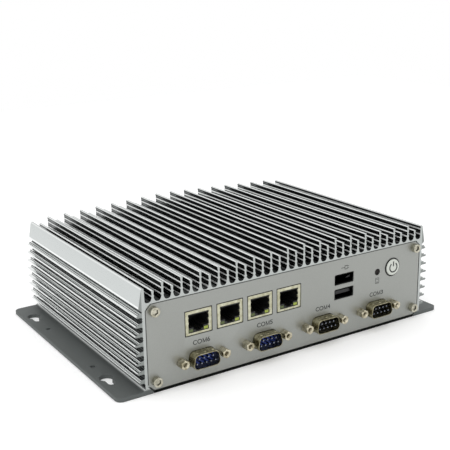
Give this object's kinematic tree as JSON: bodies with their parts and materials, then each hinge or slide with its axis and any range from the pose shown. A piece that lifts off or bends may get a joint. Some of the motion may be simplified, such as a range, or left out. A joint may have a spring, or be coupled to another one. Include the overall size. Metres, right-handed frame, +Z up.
{
  "type": "fanless industrial computer",
  "caption": "Low finned aluminium box computer with mounting ears, network, serial and USB sockets and a round power button.",
  "frame": {"origin": "middle of the footprint, on the underside", "axes": "+X runs left to right along the front panel, the front faces -Y, +Z is up"},
  "size_m": [0.22, 0.1592, 0.062],
  "materials": {
    "black_plastic": "black moulding",
    "block_aluminium": "machined block",
    "blue_plastic": "dark blue moulding",
    "board_green": "green circuit board",
    "brass": "turned brass",
    "button_plastic": "pale satin cap",
    "dark_screw": "blackened countersunk screws",
    "extrusion": "silver anodised extrusion with fine drawing lines",
    "gold": "gold-plated contacts",
    "green_plastic": "lime moulding",
    "jack_steel": "nickel-plated hexagonal screws",
    "lens": "tinted lamp lenses",
    "light_pipe": "milky light pipe",
    "nickel": "nickel-plated sheet",
    "pad_grey": "soft grey pad",
    "panel": "fine bead-blasted silver anodising",
    "pink_plastic": "pink moulding",
    "plate": "satin grey sheet",
    "screw_steel": "zinc-plated socket screws",
    "shield_nickel": "warm nickel-plated shield",
    "socket_plastic": "black moulded housing",
    "vga_plastic": "blue moulding",
    "white_plastic": "natural moulding",
    "yellow_nickel": "yellow-passivated drawn steel"
  },
  "bodies": {
    "housing": {"board_connector": "black_plastic", "board_screws": "screw_steel", "bottom_plate": "plate", "bottom_plate_screws": "dark_screw", "coin_cell": "nickel", "coin_cell_holder": "black_plastic", "com_insert_1": "black_plastic", "com_insert_2": "black_plastic", "com_insert_3": "black_plastic", "com_insert_4": "black_plastic", "com_insert_5": "blue_plastic", "com_insert_6": "blue_plastic", "com_pins": "gold", "com_shell_1": "yellow_nickel", "com_shell_2": "yellow_nickel", "com_shell_3": "yellow_nickel", "com_shell_4": "yellow_nickel", "com_shell_5": "yellow_nickel", "com_shell_6": "yellow_nickel", "dc_jack": "black_plastic", "dc_jack_contact": "nickel", "extruded_body": "extrusion", "front_panel": "panel", "front_panel_screws": "screw_steel", "heat_block": "block_aluminium", "io_board": "board_green", "jack_screws": "jack_steel", "lan_contacts": "gold", "lan_housing_1": "socket_plastic", "lan_housing_2": "socket_plastic", "lan_housing_3": "socket_plastic", "lan_housing_4": "socket_plastic", "lan_lenses": "lens", "lan_shield_1": "shield_nickel", "lan_shield_2": "shield_nickel", "lan_shield_3": "shield_nickel", "lan_shield_4": "shield_nickel", "line_out_jack": "green_plastic", "long_standoffs": "brass", "main_board": "board_green", "memory_module": "board_green", "memory_socket": "black_plastic", "mic_jack": "pink_plastic", "power_switch": "black_plastic", "processor": "nickel", "rear_panel": "panel", "rear_panel_screws": "screw_steel", "rear_usb_insert": "black_plastic", "rear_usb_shell": "nickel", "short_standoffs": "brass", "ssd_module": "board_green", "ssd_socket": "white_plastic", "status_light": "light_pipe", "thermal_pad": "pad_grey", "usb_contacts": "gold", "usb_insert": "black_plastic", "usb_shell": "nickel", "vga_insert": "vga_plastic", "vga_shell": "yellow_nickel"},
    "button": {"power_button": "button_plastic"}
  },
  "joints": [
    {"name": "power_press", "type": "slide", "parent": "housing", "child": "button", "axis": [0, 1, 0], "range_m": [0, 0.0009], "stiffness_N_per_m": 1200, "springref_m": -0.0012}
  ]
}
